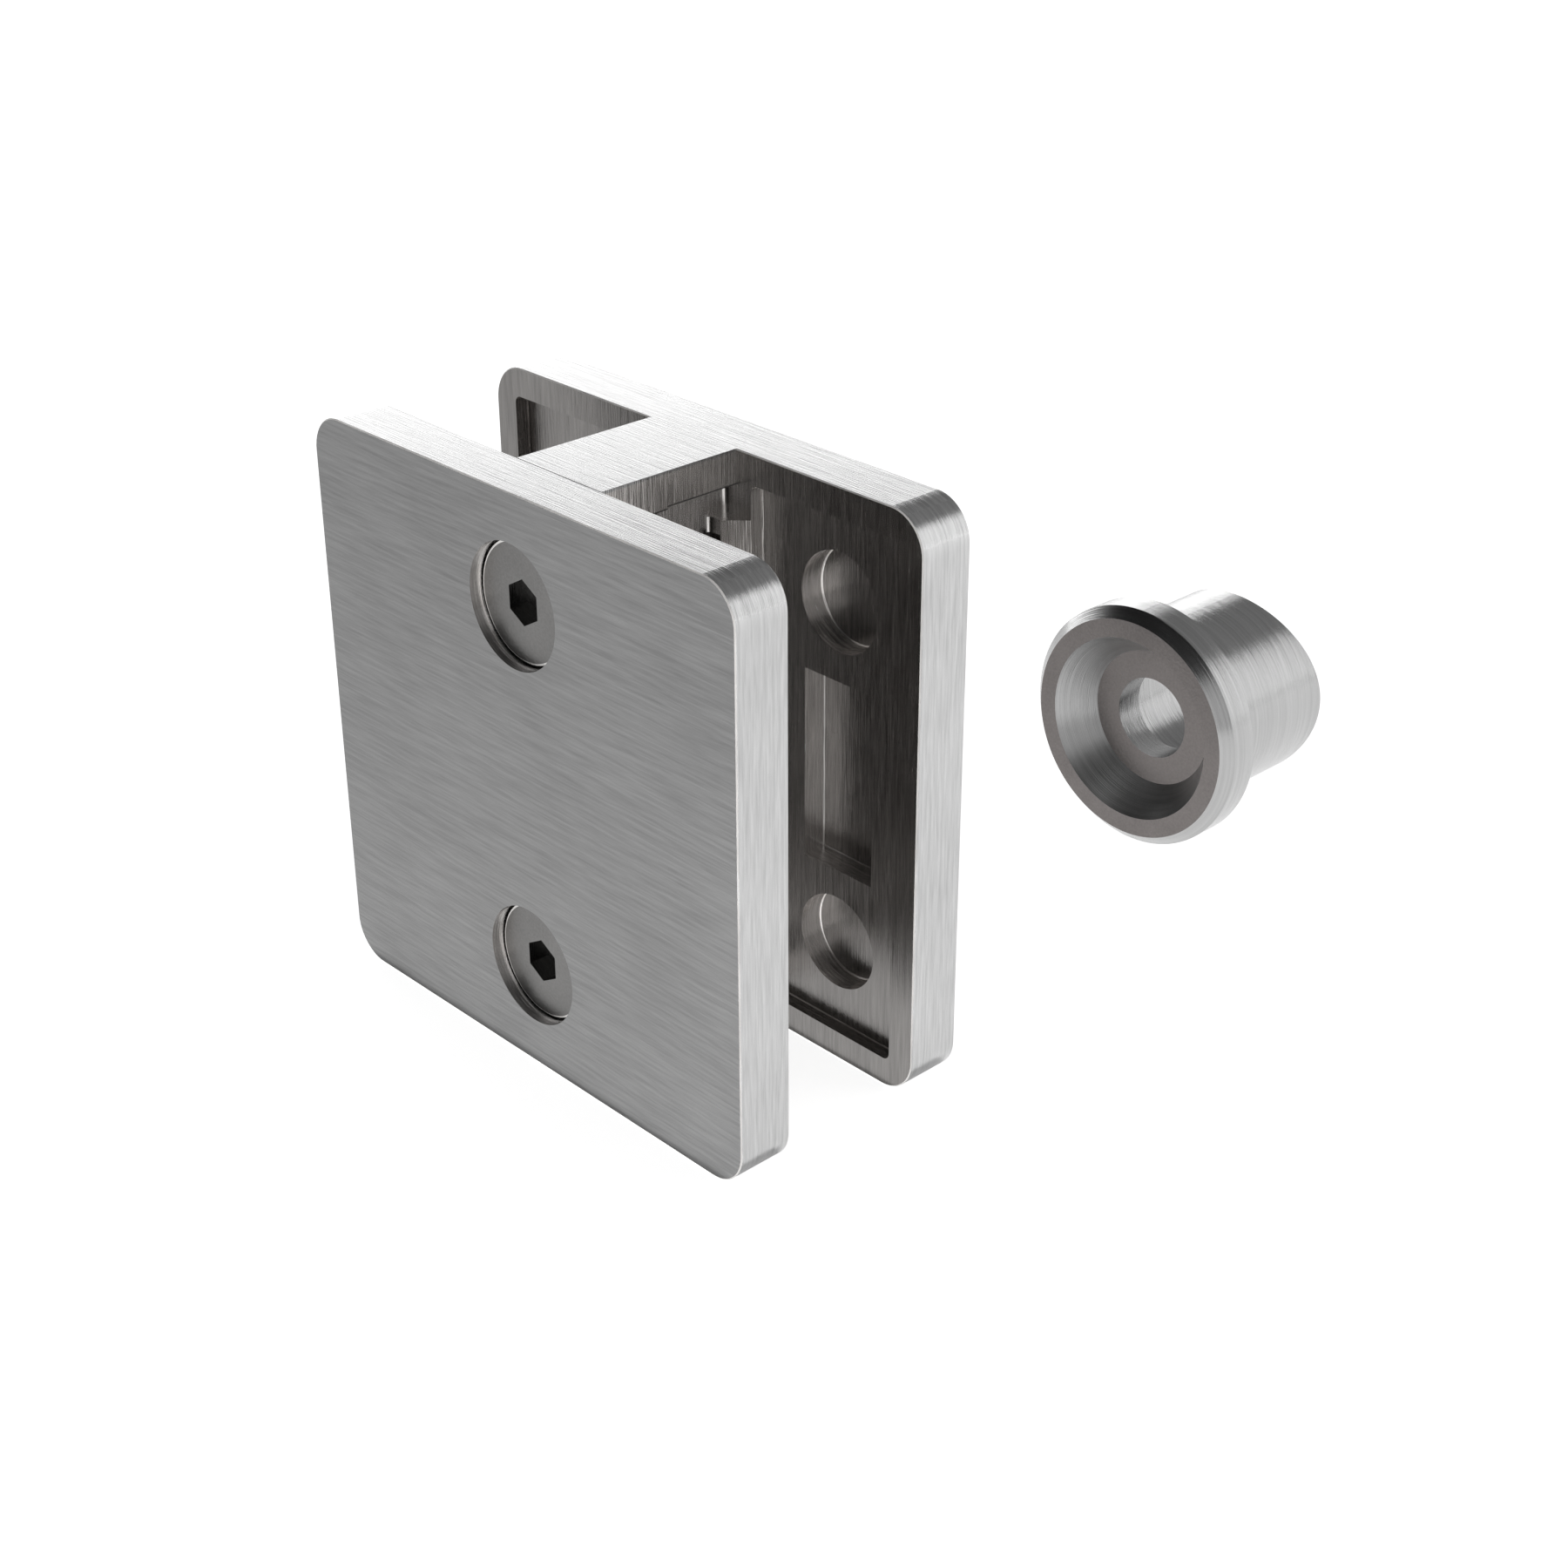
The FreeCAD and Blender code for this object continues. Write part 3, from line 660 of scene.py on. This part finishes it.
def screw_tree():
    """Geometry Nodes for a countersunk screw.

    A grid is rolled up round the axis, and a hexagon is cut out of its head.
    """
    tree = bpy.data.node_groups.new("countersunk_screw", "GeometryNodeTree")
    board = Board(tree)
    for name, kind in SCREW_INPUTS:
        tree.interface.new_socket(name=name, in_out="INPUT", socket_type="NodeSocket" + kind)
    tree.interface.new_socket(name="Geometry", in_out="OUTPUT", socket_type="NodeSocketGeometry")
    given = board.outputs("NodeGroupInput")
    head, edge, land = given["Head Radius"], given["Head Edge"], given["Head Land"]
    shank, length, tip = given["Shank Radius"], given["Length"], given["Tip"]
    pitch, rows = given["Pitch"], given["Rows"]

    grid = board.node("GeometryNodeMeshGrid", None, {
        "Size X": 1.0, "Size Y": 1.0, "Vertices X": rows, "Vertices Y": given["Columns"] + 1.0})
    at_x, at_y, _ = board.parts(board.node("GeometryNodeInputPosition"))
    last = rows - 1.0
    row = (at_x + 0.5) * last
    turn = at_y + 0.5

    neck_start = land + head - shank
    thread_start = neck_start + given["Neck"]
    thread_end = length - tip
    share = (row - HEAD_ROWS) / (last - HEAD_ROWS - TIP_ROWS)
    in_thread = row.above(HEAD_ROWS - 0.5) * row.below(rows - TIP_ROWS - 0.5)
    thread_y = thread_start + share * (thread_end - thread_start)
    groove = (thread_y / pitch + turn).wave().stretched(GROOVE_STEEPNESS).between(0.0, 1.0)
    from_start = (thread_y - thread_start) / pitch
    from_end = (thread_end - thread_y) / pitch + GROOVE_AT_TIP
    depth = given["Thread Depth"] * groove * from_start.least(from_end).between(0.0, 1.0)

    # The head's and the tip's rows: number, radius and place along the axis
    stations = (
        (1.0, head - edge, 0.0), (2.0, head, edge), (3.0, head, land), (4.0, shank, neck_start),
        (last - 2.0, shank - tip * TIP_POINT, length - tip * (1.0 - TIP_POINT)),
        (last - 1.0, shank - tip, length), (last, 0.0, length))
    radius = (shank - depth) * in_thread
    along = thread_y * in_thread
    for number, station_radius, station_along in stations:
        here = abs(row - number).below(0.5)
        radius = radius + station_radius * here
        along = along + station_along * here
    angle = turn * (2.0 * math.pi)
    rolled = board.join(radius * angle.math("COSINE"), along, radius * angle.math("SINE"))
    shape = board.node("GeometryNodeSetPosition", None, {"Geometry": grid, "Position": rolled})
    shape = board.node("GeometryNodeMergeByDistance", None, {
        "Geometry": shape, "Distance": SAME_POINT})

    key = board.node("GeometryNodeMeshCylinder", None, {
        "Vertices": 6, "Radius": given["Key"] * (1.0 / math.sqrt(3.0)),
        "Depth": given["Key Depth"] * 2.0})
    key = board.node("GeometryNodeTransform", None, {
        "Geometry": key, "Rotation": (math.pi / 2, math.pi / 6, 0.0)})
    shape = board.node("GeometryNodeMeshBoolean", {"operation": "DIFFERENCE", "solver": "EXACT"},
                       {0: shape, 1: key})
    shape = board.node("GeometryNodeTransform", None, {
        "Geometry": shape, "Translation": given["Place"]})
    shape = board.node("GeometryNodeRealizeInstances", None, {"Geometry": shape})
    shape = board.node("GeometryNodeSetMaterial", None, {
        "Geometry": shape, "Material": given["Material"]})
    board.node("NodeGroupOutput", None, {"Geometry": shape})
    return tree


def piece_from_tree(name, tree, values):
    """A plain mesh object made by a Geometry Nodes tree with these inputs."""
    maker = bpy.data.objects.new(name, bpy.data.meshes.new(name))
    bpy.context.scene.collection.objects.link(maker)
    modifier = maker.modifiers.new("shape", "NODES")
    modifier.node_group = tree
    for item in tree.interface.items_tree:
        if item.in_out == "INPUT":
            modifier[item.identifier] = values[item.name]
    bpy.context.view_layer.update()
    evaluated = maker.evaluated_get(bpy.context.evaluated_depsgraph_get())
    mesh = bpy.data.meshes.new_from_object(evaluated)
    maker.modifiers.clear()
    maker.data = mesh
    if not mesh.polygons:
        raise RuntimeError(name + " has no faces")
    return maker


# Operators, one for each group of pieces

class GLASSCLAMP_OT_plates(bpy.types.Operator):
    """Finish the front plate and the rear body in brushed steel"""

    bl_idname = "glassclamp.plates"
    bl_label = "Plates"

    def execute(self, context):
        material = brushed_steel("plate_steel_brushed", context.scene.glass_clamp.steel)
        for node in PLATES:
            finish_node(node, material)
        return {"FINISHED"}


class GLASSCLAMP_OT_screws(bpy.types.Operator):
    """Make the two threaded cover screws in place of the plain ones"""

    bl_idname = "glassclamp.screws"
    bl_label = "Cover screws"

    def execute(self, context):
        settings = context.scene.glass_clamp
        sizes = settings.screws
        tree = screw_tree()
        for node, body in SCREWS.items():
            low, middle, high = span(node)
            face = Vector((middle.x, low.y, middle.z))
            head_radius = high.x - middle.x
            name = node + "_threaded"
            colour = settings.steel.screw_colour
            # Wear with a painted highlight on the rim of the head
            worn_highlit_radius = head_radius - WORN_HIGHLIT_BAND * sizes.head_edge
            material = turned_steel(name, settings.steel, face, colour, colour, worn_highlit_radius)
            piece = piece_from_tree(name, tree, {
                "Head Radius": head_radius, "Head Edge": sizes.head_edge,
                "Head Land": sizes.head_land, "Shank Radius": sizes.shank,
                "Length": high.y - low.y, "Tip": sizes.tip, "Neck": sizes.neck,
                "Pitch": sizes.pitch, "Thread Depth": sizes.thread_depth, "Key": sizes.key,
                "Key Depth": sizes.key_depth, "Rows": sizes.rows, "Columns": sizes.columns,
                "Place": face, "Material": material})
            piece.data.shade_smooth()
            piece.data.set_sharp_from_angle(angle=SHARP_ANGLE)
            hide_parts(node)
            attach(piece, body)
        return {"FINISHED"}


class GLASSCLAMP_OT_adapter(bpy.types.Operator):
    """Finish the post adapter in turned steel"""

    bl_idname = "glassclamp.adapter"
    bl_label = "Post adapter"

    def execute(self, context):
        steel = context.scene.glass_clamp.steel
        _, axis, _ = span(ADAPTER)
        # Its flat faces get painted shade, a darker colour than its turned walls
        material = turned_steel(
            "adapter_steel_turned", steel, axis, steel.turned_colour, steel.shaded_machined_colour)
        finish_node(ADAPTER, material)
        return {"FINISHED"}


def add_floor(scene, studio):
    """A plain white floor that the camera and the steel see bright, and that keeps its shadows; the
    steel sees painted shade in strips under the plates.
    """
    half = studio.floor_size / 2
    mesh = bpy.data.meshes.new("floor")
    corners = [(-half, -half, 0), (half, -half, 0), (half, half, 0), (-half, half, 0)]
    mesh.from_pydata(corners, [], [(0, 1, 2, 3)])
    floor = bpy.data.objects.new("floor", mesh)
    scene.collection.objects.link(floor)

    # The glow is only for what looks at the floor, so it isn't sampled as a lamp
    material, board = new_material("floor_white")
    material.cycles.emission_sampling = "NONE"
    right, back, _ = board.parts(board.outputs("ShaderNodeTexCoord")["Object"])
    fade = (right * studio.floor_fade + FLOOR_MIDDLE).between(FLOOR_LEAST, 1.0)
    # Painted shade: the glow that the steel sees is dimmed in strips under the two plates
    painted_shade_strip = abs(abs(back) - STRIP_DEPTH).below(STRIP_HALF_WIDTH) * abs(right).below(STRIP_END)
    rays = board.outputs("ShaderNodeLightPath")
    mirrored = rays["Is Glossy Ray"].most(rays["Is Transmission Ray"])
    share = rays["Is Camera Ray"].most(mirrored * fade * (1.0 - painted_shade_strip * STRIP_PAINTED_SHADE))
    lit = board.node("ShaderNodeBsdfDiffuse", None, {"Color": opaque(studio.floor_colour)})
    glow = board.node("ShaderNodeEmission", None, {"Color": WHITE, "Strength": studio.floor_glow})
    both = board.node("ShaderNodeAddShader", None, {0: lit, 1: glow})
    surface = board.node("ShaderNodeMixShader", None, {0: share, 1: lit, 2: both})
    board.node("ShaderNodeOutputMaterial", None, {"Surface": surface})
    mesh.materials.append(material)


def add_lamp(scene, plan, brightness):
    """A soft rectangular lamp that looks at the clamp.

    At brightness 1 it is as bright as a white card in full light.
    """
    data = bpy.data.lights.new(plan.name, "AREA")
    data.shape = "RECTANGLE"
    data.size = plan.width
    data.size_y = plan.height
    data.energy = brightness * math.pi * plan.width * plan.height
    turn, rise = math.radians(plan.azimuth), math.radians(plan.elevation)
    level = math.cos(rise)
    direction = Vector((math.cos(turn) * level, math.sin(turn) * level, math.sin(rise)))
    lamp = bpy.data.objects.new(plan.name, data)
    lamp.location = Vector(LAMP_AIM) + direction * plan.distance
    lamp.rotation_euler = (-direction).to_track_quat("-Z", "Y").to_euler()
    lamp.visible_camera = False
    scene.collection.objects.link(lamp)


def add_surroundings(scene, studio):
    """A dim sky, dark in front and lighter behind, right above and low in front on the left."""
    world = bpy.data.worlds.new("surroundings")
    world.use_nodes = True
    scene.world = world
    board = Board(world.node_tree)
    right, back, up = board.parts(board.outputs("ShaderNodeTexCoord")["Generated"])
    to_back = right * SKY_RISE[0] + back * SKY_RISE[1]
    rise = to_back.ramp(SKY_RISE_START, SKY_RISE_END)
    to_right = right * LOW_SKY_FALL[0] + back * LOW_SKY_FALL[1]
    front_left = to_right.ramp(LOW_SKY_START, LOW_SKY_END)
    low = up.ramp(LOW_SKY_TOP, LOW_SKY_FULL) * front_left
    overhead = up.ramp(OVERHEAD_START, OVERHEAD_END)
    strength = studio.front_sky + rise * (studio.back_sky - studio.front_sky) \
        + overhead * studio.top_sky + low * studio.low_sky
    sky = board.node("ShaderNodeBackground", None, {"Color": WHITE, "Strength": strength})
    board.node("ShaderNodeOutputWorld", None, {"Surface": sky})


def add_camera(scene, view):
    """The photograph's camera."""
    data = bpy.data.cameras.new("photo_camera")
    data.sensor_width = SENSOR_WIDTH
    data.lens = view.lens
    data.clip_start = CLIP_START
    camera = bpy.data.objects.new("photo_camera", data)
    turn = Matrix.Rotation(view.azimuth, 4, "Z")
    tilt = Matrix.Rotation(math.pi / 2 - view.elevation, 4, "X")
    roll = Matrix.Rotation(view.roll, 4, "Z")
    camera.matrix_world = Matrix.Translation(view.place) @ turn @ tilt @ roll
    scene.collection.objects.link(camera)
    scene.camera = camera


class GLASSCLAMP_OT_stage(bpy.types.Operator):
    """Set up the floor, the lamps, the surroundings and the camera"""

    bl_idname = "glassclamp.stage"
    bl_label = "Studio"

    def execute(self, context):
        scene = context.scene
        settings = scene.glass_clamp
        add_floor(scene, settings.studio)
        for lamp in LAMPS:
            add_lamp(scene, lamp, getattr(settings.studio, lamp.setting))
        add_surroundings(scene, settings.studio)
        add_camera(scene, settings.camera)
        scene.view_settings.view_transform = "Standard"
        return {"FINISHED"}


class GLASSCLAMP_PT_panel(bpy.types.Panel):
    """Lists the scene's steps"""

    bl_idname = "GLASSCLAMP_PT_panel"
    bl_label = "Glass Clamp"
    bl_space_type = "VIEW_3D"
    bl_region_type = "UI"
    bl_category = "Glass Clamp"

    def draw(self, context):
        for operator in OPERATORS:
            self.layout.operator(operator.bl_idname)


SETTINGS = (SteelSettings, ScrewSettings, StudioSettings, CameraSettings, ClampSettings)
OPERATORS = (GLASSCLAMP_OT_plates, GLASSCLAMP_OT_screws, GLASSCLAMP_OT_adapter, GLASSCLAMP_OT_stage)
CLASSES = SETTINGS + OPERATORS + (GLASSCLAMP_PT_panel,)


def register():
    """Adds the classes and the scene's settings."""
    for cls in CLASSES:
        bpy.utils.register_class(cls)
    bpy.types.Scene.glass_clamp = PointerProperty(type=ClampSettings)


def unregister():
    """Takes the settings and the classes away again."""
    del bpy.types.Scene.glass_clamp
    for cls in reversed(CLASSES):
        bpy.utils.unregister_class(cls)


def main():
    """Builds the scene."""
    register()
    bpy.ops.glassclamp.plates()
    bpy.ops.glassclamp.screws()
    bpy.ops.glassclamp.adapter()
    bpy.ops.glassclamp.stage()


if __name__ == "__main__":
    main()
